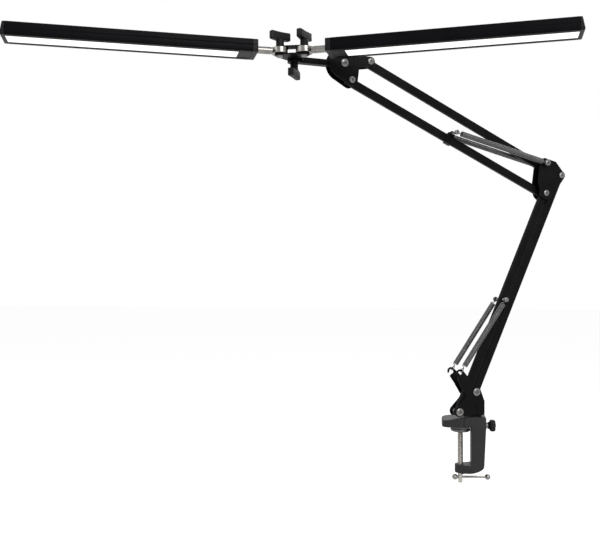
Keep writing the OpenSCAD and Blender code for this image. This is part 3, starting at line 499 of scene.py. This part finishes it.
def join(shapes):
    """Several (points, faces) shapes as one."""
    points, faces, count = [], [], 0
    for place, corners in shapes:
        points.append(np.asarray(place, float).reshape(-1, 3))
        faces += [[i + count for i in face] for face in corners]
        count += len(points[-1])
    return np.concatenate(points), faces


rim_share, dome_power, recess_share = 0.36, 2.6, 0.62


def pan_head(seat, axis, r, h, recess=True):
    """A cross-recess head. A square grid is drawn into a disc: each coordinate is multiplied by the root of
    one less half the square of the other. Its height is a dome, the two crossing slots of the recess are
    pressed into it, and a short wall joins the seat."""
    slot, reach, lip = 0.11, 0.5, 0.035
    half = [0.0, slot - lip, slot, 0.22, 0.34, reach - lip, reach, 0.62, 0.74, 0.84, 0.92, 0.97, 1.0]
    line = np.array([-v for v in half[:0:-1]] + half)
    x, y = np.meshgrid(line, line, indexing="ij")
    u = x * np.sqrt(1 - y * y / 2)
    v = y * np.sqrt(1 - x * x / 2)
    rho = np.clip(np.hypot(u, v), 0, 1)
    dome = h * (rim_share + (1 - rim_share) * np.sqrt(np.clip(1 - rho ** dome_power, 0, 1)))
    sunk = ((abs(x) < slot - lip / 2) & (abs(y) < reach - lip / 2)) | ((abs(y) < slot - lip / 2)
                                                                  & (abs(x) < reach - lip / 2))
    if recess:
        dome = dome - sunk * h * (recess_share - 0.2 * rho)
    n = len(line)
    top = np.stack([u * r, v * r, dome], -1).reshape(-1, 3)
    ij = np.arange(n * n).reshape(n, n)
    faces = np.stack([ij[:-1, :-1], ij[1:, :-1], ij[1:, 1:], ij[:-1, 1:]], -1).reshape(-1, 4).tolist()
    rim = np.concatenate([ij[:, 0], ij[-1, 1:], ij[-2::-1, -1], ij[0, -2:0:-1]])
    ring = np.concatenate([top[rim] * (1.0, 1.0, 0) + (0, 0, h * 0.1), top[rim] * (0.96, 0.96, 0)])
    m = len(rim)
    k = np.arange(m)
    low = n * n + k
    faces += np.stack([rim, low, np.roll(low, -1), np.roll(rim, -1)], -1).tolist()
    faces += np.stack([low, low + m, np.roll(low + m, -1), np.roll(low, -1)], -1).tolist()
    faces.append((n * n + m + k)[::-1].tolist())
    return np.array(seat) + np.concatenate([top, ring]) @ frame_about(axis), faces


def hexagon(angle, profile):
    """A hexagon whose corners are cut by the chamfer: the radius is the hexagon's where the profile is
    wide, and never more than the profile's own."""
    flat = profile[:, :1].max() * cos(pi / 6)
    edge = flat / np.cos((angle % (pi / 3)) - pi / 6)
    return np.minimum(edge, profile[:, :1]) / profile[:, :1]


def nut(seat, axis, bore, h):
    """A chamfered hexagon nut that sits at seat."""
    corner = bore * 1.9
    flat = corner * cos(pi / 6)
    return turned([(bore, 0.00002), (flat * 0.94, 0), (flat * 0.99, 0.0001), (corner, 0.0005),
                   (corner, h - 0.0005), (flat * 0.99, h - 0.0001), (flat * 0.94, h), (bore, h - 0.0001)],
                  seat, axis, 72, hexagon)


shank_chamfer = 0.0005


def shank(seat, axis, r, length):
    """A bolt's shank with a chamfered end, that starts a little inside its head."""
    return turned([(r, -shank_chamfer), (r, length - shank_chamfer), (r - 0.0004, length)], seat, axis, 32)


def along_arm(point, v):
    """The point that is v across the arm from another."""
    return np.array(point) + across * v


bolt_r, head_h = 0.0025, 0.0024


def fasteners(name, node, nuts, pivots, body):
    """Bolts and nuts through a bracket at its pivots, each given with its head's radius. The heads are on
    the near side."""
    low, high = extent(node, across, pivots[0][0])
    nut_low, nut_high = extent(nuts, across, pivots[0][0])
    shapes = []
    for place, r in pivots:
        seat = along_arm(place, v=low + head_h)
        shapes.append(pan_head(seat, -across, r, head_h))
        shapes.append(shank(seat, across, bolt_r, high - low - head_h))
    piece(name, *join(shapes), zinc, body, "zinc", [node])
    shapes = [nut(along_arm(place, v=nut_low), across, bolt_r, nut_high - nut_low) for place, r in pivots]
    piece(name + "_nuts", *join(shapes), zinc, body, "zinc", [nuts], smooth=False)


front_pivot = pivot("lower_follow")
base_head_r, tilt_head_r, bolt_head_r = 0.0058, 0.0056, 0.0046
fasteners("base_bolt_set", "base_bolts", "base_nuts",
          [(rear_pivot, base_head_r), (front_pivot, base_head_r)], "base_bracket")


# ---- Arms ----
# Four flat-sided steel tubes in a black powder coat, in two parallel pairs. Each end is shut by a
# moulded plug, and a bolt passes through tube and plug.
for name in ("lower_rear_tube", "lower_front_tube", "upper_top_tube", "upper_bottom_tube"):
    rounded_copy(name, tube_edge, powder, "powder")
for name in ("lower_rear_plugs", "lower_front_plugs", "upper_top_plugs", "upper_bottom_plugs"):
    rounded_copy(name, moulded_edge, plastic, "plastic")


# ---- Springs ----
# Close-wound extension springs of drawn wire, two beside each arm. Each ends in a teardrop loop: the lower
# ones hang in the open hooks and pull on a pin through the front tube, and the upper ones pull on a clip.
wire_r = 0.0006
coil_mean = 0.0034
coil_step = 0.00125
coil_lead = 0.0030
end_swing = 0.3 * 2 * pi
stem_share = 1.75
turn_points, arc_points, stem_points = 16, 40, 6
wire = plated("spring_wire", (0.15, 0.15, 0.15), roughness=0.36, grain=900, streak=(1, 1, 1), tint=0.1)


def sweep(path, reference, r, sides=8):
    """A round wire: at each point of the path a ring in the plane square to it, that starts at the side
    nearest to the reference direction there, so that the rings don't twist."""
    tangent = np.gradient(path, axis=0)
    tangent /= np.linalg.norm(tangent, axis=1, keepdims=True)
    side = reference - (reference * tangent).sum(1, keepdims=True) * tangent
    side /= np.linalg.norm(side, axis=1, keepdims=True)
    other = np.cross(tangent, side)
    angle = np.linspace(0, 2 * pi, sides, endpoint=False)[None, :, None]
    rings = path[:, None] + r * (np.cos(angle) * side[:, None] + np.sin(angle) * other[:, None])
    return rings.reshape(-1, 3), tube_faces(len(path), sides)


def spring(name, node, first, last, loop_first, loop_last, first_across):
    """A spring between two loop centres. The coil is a helix; at each end the wire leaves it, comes to
    the axis and runs round a teardrop: two straight lines that touch the loop's circle, and the arc between
    them."""
    line = last - first
    length = np.linalg.norm(line)
    line = line / length
    flat = np.cross(line, across)

    def teardrop(loop_r):
        """The loop beyond the coil's end, as (along, aside) from its centre, open side towards the coil."""
        reach = stem_share * loop_r
        touch = np.arcsin(loop_r / reach)
        arc = np.linspace(pi / 2 + touch, -pi / 2 - touch, arc_points)
        point = np.stack([loop_r * np.cos(arc), loop_r * np.sin(arc)], 1)
        stem = np.array([[-reach, 0.0]])
        into = stem + (point[0] - stem) * np.linspace(0, 0.9, stem_points)[:, None]
        back_again = point[-1] + (stem - point[-1]) * np.linspace(0.1, 0.78, stem_points)[:, None]
        return np.concatenate([into, point, back_again]), reach

    (drop_a, reach_a), (drop_b, reach_b) = teardrop(loop_first), teardrop(loop_last)
    start = reach_a + coil_lead
    stop = length - reach_b - coil_lead
    turns = max(1, round((stop - start) / coil_step))
    turn = np.linspace(0, turns, turns * turn_points + 1)
    helix = (first + line * (start + (stop - start) * turn / turns)[:, None]
             + coil_mean * (np.cos(2 * pi * turn)[:, None] * flat - np.sin(2 * pi * turn)[:, None] * across))
    t = np.linspace(0, 1, 9)[:-1, None]
    ease = t * t * (3 - 2 * t)

    def side_of(is_across):
        return across if is_across else flat

    def end_path(centre, towards, drop, reach, is_across, coil_end, coil_turn):
        """From the loop to the coil: the teardrop, then a bend that swings out to the coil's radius."""
        loop = centre + drop[:, :1] * towards + drop[:, 1:] * side_of(is_across)
        stem = centre - reach * towards
        turn_angle = coil_turn * (1 - t) * end_swing
        rise = coil_mean * ease
        bend = (stem + (coil_end - stem) @ np.outer(line, line) * t
                + rise * (np.cos(turn_angle) * flat - np.sin(turn_angle) * across))
        return loop, bend

    loop_a, bend_a = end_path(first, -line, drop_a, reach_a, first_across, helix[0], -1)
    loop_b, bend_b = end_path(last, line, drop_b, reach_b, False, helix[-1], 1)
    path = np.concatenate([loop_a[::-1], bend_a, helix, bend_b[::-1], loop_b])
    plane_a = np.tile(side_of(not first_across), (len(loop_a), 1))
    plane_b = np.tile(side_of(True), (len(loop_b), 1))
    mid_a = (1 - t) * side_of(not first_across) + t * line
    mid_b = t * across + (1 - t) * line
    reference = np.concatenate([plane_a, mid_a, np.tile(line, (len(helix), 1)), mid_b, plane_b])
    points, faces = sweep(path, reference, wire_r)
    made = piece(name, points, faces, wire, None, "spring", [node])
    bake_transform(made)


def middle(node, axis):
    """The middle of a CAD node's reach along an axis."""
    return sum(extent(node, axis)) / 2


def aside(node):
    """How far across the arm the middle of a CAD node is from the rear pivot."""
    return middle(node, across) - rear_pivot @ across


def in_arm(node, v):
    """The middle of a CAD node in the arm's plane, at v across from the rear pivot."""
    along, height = middle(node, forward), middle(node, up)
    return forward * along + up * height + across * (rear_pivot @ across + v)


end_depth = 0.0004


def line_end(node, direction, inset):
    """The point inset from a long CAD part's far end in a direction, on the part's own line."""
    place = cad_points(node)
    far = place @ direction
    return place[far > far.max() - end_depth].mean(0) - direction * inset


lower_pin = in_arm("lower_spring_pin", 0)
upper_pin = in_arm("upper_spring_pin", 0)
anchor = in_arm("elbow_studs", 0)
hook_loop, pin_loop, stud_loop = 0.0028, 0.00285, 0.00335
for side in ("near", "far"):
    node = "lower_spring_" + side
    pin = along_arm(lower_pin, aside(node))
    slope = pin - line_end(node, -forward, 0)
    slope -= across * (slope @ across)
    slope /= np.linalg.norm(slope)
    hook = line_end(node, -slope, hook_loop + wire_r)
    hook += across * ((pin - hook) @ across)
    spring("lower_" + side + "_coil", node, hook, pin, hook_loop, pin_loop, True)
    node = "upper_spring_" + side
    v = aside(node)
    spring("upper_" + side + "_coil", node, along_arm(anchor, v), along_arm(upper_pin, v),
           stud_loop, pin_loop, False)


pin_r, pin_head_r, pin_head_h = 0.002, 0.0034, 0.0014


def double_pin(name, node, place, body, recess=True):
    """A pin across the arm with a domed head at each end."""
    low, high = extent(node, across, place)
    shapes = [shank(along_arm(place, v=low + pin_head_h), across, pin_r, high - low - 2 * pin_head_h)]
    for end, direction in ((low + pin_head_h, -across), (high - pin_head_h, across)):
        shapes.append(pan_head(along_arm(place, v=end), direction, pin_head_r, pin_head_h, recess))
    piece(name, *join(shapes), zinc, body, "zinc", [node])


double_pin("lower_pin", "lower_spring_pin", lower_pin, "lower_front_arm", recess=False)
double_pin("upper_pin", "upper_spring_pin", upper_pin, "upper_bottom_arm")
rounded_copy("upper_spring_clip", tube_edge, powder, "powder")


# ---- Elbow ----
# Two stamped plates with a pressed boss round the pivots. The stud at the top corner of each carries the
# upper springs.
for name in ("elbow_plate_near", "elbow_plate_far"):
    rounded_copy(name, plate_edge, powder, "powder")
fasteners("elbow_bolt_set", "elbow_bolts", "elbow_nuts",
          [(pivot("upper_follow"), bolt_head_r), (pivot("upper_arm"), bolt_head_r)], "elbow")
plate_in = extent("elbow_plate_far", across, rear_pivot)[0]
low, high = extent("elbow_studs", across, anchor)
shapes = []
for outward, reach in ((-across, -low), (across, high)):
    shapes.append(shank(anchor + outward * plate_in, outward, bolt_r, reach - head_h - plate_in))
    shapes.append(pan_head(anchor + outward * (reach - head_h), outward, bolt_head_r, head_h))
piece("anchor_studs", *join(shapes), zinc, "elbow", "zinc", ["elbow_studs"])


# ---- Head bracket and head arm ----
# Two stamped plates with a domed top clamp the head arm's disc between friction discs, so that the head
# keeps its tilt. The head arm is a bar that is halved at its far end to take the knuckle plate.
for name in ("head_plate_near", "head_plate_far"):
    rounded_copy(name, plate_edge, powder, "powder")
tilt_pivot = pivot("head_tilt")
low_pivot = pivot("head_level")
top_pivot = low_pivot - (front_pivot - rear_pivot)
fasteners("head_bolt_set", "head_bolts", "head_nuts",
          [(low_pivot, bolt_head_r), (top_pivot, bolt_head_r), (tilt_pivot, tilt_head_r)], "head_bracket")
rounded_copy("head_arm", drawn_edge, powder, "powder")
fibre = moulded("friction_fibre", (0.016, 0.016, 0.016), (0.030, 0.029, 0.027), roughness=0.75, grain=1800)
coat(fibre, "friction_discs")


# ---- Knuckle ----
# A triangular steel plate turns on the head arm, and two bolts through it and a top strap clamp the rods'
# eyes. Wing knobs tighten the three axes.
for name in ("knuckle_plate", "knuckle_top_plate"):
    rounded_copy(name, knuckle_edge, powder, "powder")
for name in ("swivel_bolts", "pan_bolt"):
    rounded_copy(name, turned_edge, zinc, "zinc")


def wing_knob(name, node, axis, body):
    """A wing knob: rows of superellipses, whose two half widths and power change with height, from the
    round stem to the long wing, and whose upper rows dip in the middle."""
    axis = np.array(axis, float)
    place = cad_points(node)
    centre = place.mean(0)
    centre[:2] = (place[:, :2].min(0) + place[:, :2].max(0)) / 2
    flat = (place - centre)[:, :2]
    longest = np.linalg.eigh(flat.T @ flat)[1][:, 1]
    wing = np.append(longest, 0.0)
    half = abs(flat @ longest).max()
    height = place[:, 2] * axis[2]
    base = height.min()
    tall = height.max() - base
    thick, stem, neck, dip_depth = 0.0040, 0.0053, 0.0084, 0.0007
    rows = np.array([
        (0.0, stem - 0.0007, stem - 0.0007, 2), (0.0003, stem - 0.0002, stem - 0.0002, 2),
        (0.0010, stem, stem, 2), (neck - 0.0010, stem, stem, 2), (neck - 0.0004, stem + 0.0007, stem, 2.0),
        (neck, 0.0080, 0.0049, 2.4), (neck + 0.0003, 0.0115, 0.0043, 3.5),
        (neck + 0.0006, half - 0.0009, thick - 0.0003, 5), (neck + 0.0011, half - 0.0002, thick, 6),
        (neck + 0.0020, half, thick, 6), (tall - 0.0012, half, thick, 6),
        (tall - 0.0005, half - 0.0002, thick - 0.0002, 6),
        (tall - 0.0001, half - 0.0007, thick - 0.0007, 6), (tall, half - 0.0013, thick - 0.0013, 5),
        (tall, half - 0.0060, 0.0004, 3)])
    z, a, b, p = rows.T[:, :, None]
    angle = np.linspace(0, 2 * pi, 72, endpoint=False)[None, :]
    c, s = np.cos(angle), np.sin(angle)
    x = a * np.sign(c) * abs(c) ** (2 / p)
    y = b * np.sign(s) * abs(s) ** (2 / p)
    dip = dip_depth * np.clip(1 - (x / half) ** 2, 0, 1) ** 1.5 * np.clip((z - neck) / (tall - neck), 0, 1)
    origin = np.array([centre[0], centre[1], base * axis[2]])
    side = np.cross(axis, wing)
    points = origin + x[..., None] * wing + y[..., None] * side + (z - dip)[..., None] * axis
    piece(name, points, tube_faces(len(rows), angle.size), plastic, body, "plastic", [node])


wing_knob("left_wing_knob", "left_knob", (0, 0, 1), "left_knob")
wing_knob("right_wing_knob", "right_knob", (0, 0, 1), "right_knob")
wing_knob("pan_wing_knob", "pan_knob", (0, 0, -1), "pan_knob")


# ---- Rods ----
# Bright drawn rods with a flat eye. Each runs into its light bar's inner cap, where a collar holds it and
# lets the bar roll.
for name in ("left_rod", "right_rod"):
    rounded_copy(name, drawn_edge, bright_rod, "nickel")


# ---- Light bars ----
# Extruded aluminium housings in black, drawn along their length, with a moulded cap at each end. A frosted
# sheet closes the underside and glows, as it does when the LED board behind it is lit.
def anodised(name, direction):
    """Anodised aluminium: fine lines along the direction of extrusion, and a soft sheen that varies."""
    made, add, link = node_material(name)
    body = shader(add, (0.003, 0.003, 0.004), 0.38, Specular_IOR_Level=0.04)
    lie = (0, 0, np.arctan2(direction[1], direction[0]))
    place = add("ShaderNodeMapping", vector_type="TEXTURE", Rotation=lie, Scale=(40, 1, 1))
    link(add("ShaderNodeTexCoord").outputs["Object"], place.inputs["Vector"])
    lines = add("ShaderNodeTexNoise", Scale=1500, Detail=3)
    link(place.outputs["Vector"], lines.inputs["Vector"])
    cloud = noise(add, link, 30, 3)
    base = mix(add, link, spread(add, link, cloud, 0, 1), (0.002, 0.002, 0.003), (0.004, 0.004, 0.005))
    link(mix(add, link, worn_edge(add, link, 0.0006), base, (0.02, 0.02, 0.022)), body.inputs["Base Color"])
    link(spread(add, link, lines.outputs["Fac"], 0.32, 0.46), body.inputs["Roughness"])
    bump(add, link, body, [(lines.outputs["Fac"], 0.00003)])
    link(body.outputs[0], add("ShaderNodeOutputMaterial").inputs["Surface"])
    return made


def frosted_sheet(name, level):
    """Opal acrylic lit from behind: a matt white body, softly clouded, that glows evenly."""
    made, add, link = node_material(name)
    body = shader(add, (0.93, 0.93, 0.92), 0.5, Emission_Color=(1.0, 0.99, 0.97, 1), Emission_Strength=level)
    soft = noise(add, link, 60, 2)
    link(mix(add, link, spread(add, link, soft, 0, 1), (0.91, 0.91, 0.91), (0.95, 0.95, 0.94)),
         body.inputs["Base Color"])
    bump(add, link, body, [(noise(add, link, 2500, 2), 0.00002)])
    link(body.outputs[0], add("ShaderNodeOutputMaterial").inputs["Surface"])
    return made


housing_edge, cap_edge, lit_level = 0.0003, 0.0006, 0.9
solder_mask = moulded("solder_mask", (0.80, 0.80, 0.78), (0.86, 0.86, 0.84), roughness=0.4, grain=900)
for side in ("left", "right"):
    direction = joint[side + "_roll"]["axis"]
    rounded_copy(side + "_housing", housing_edge, anodised(side + "_anodised", direction), "bar")
    rounded_copy(side + "_end_caps", cap_edge, plastic, "plastic")
    rounded_copy(side + "_diffuser", housing_edge, frosted_sheet(side + "_opal", lit_level), "diffuser")
    coat(solder_mask, side + "_led_board")
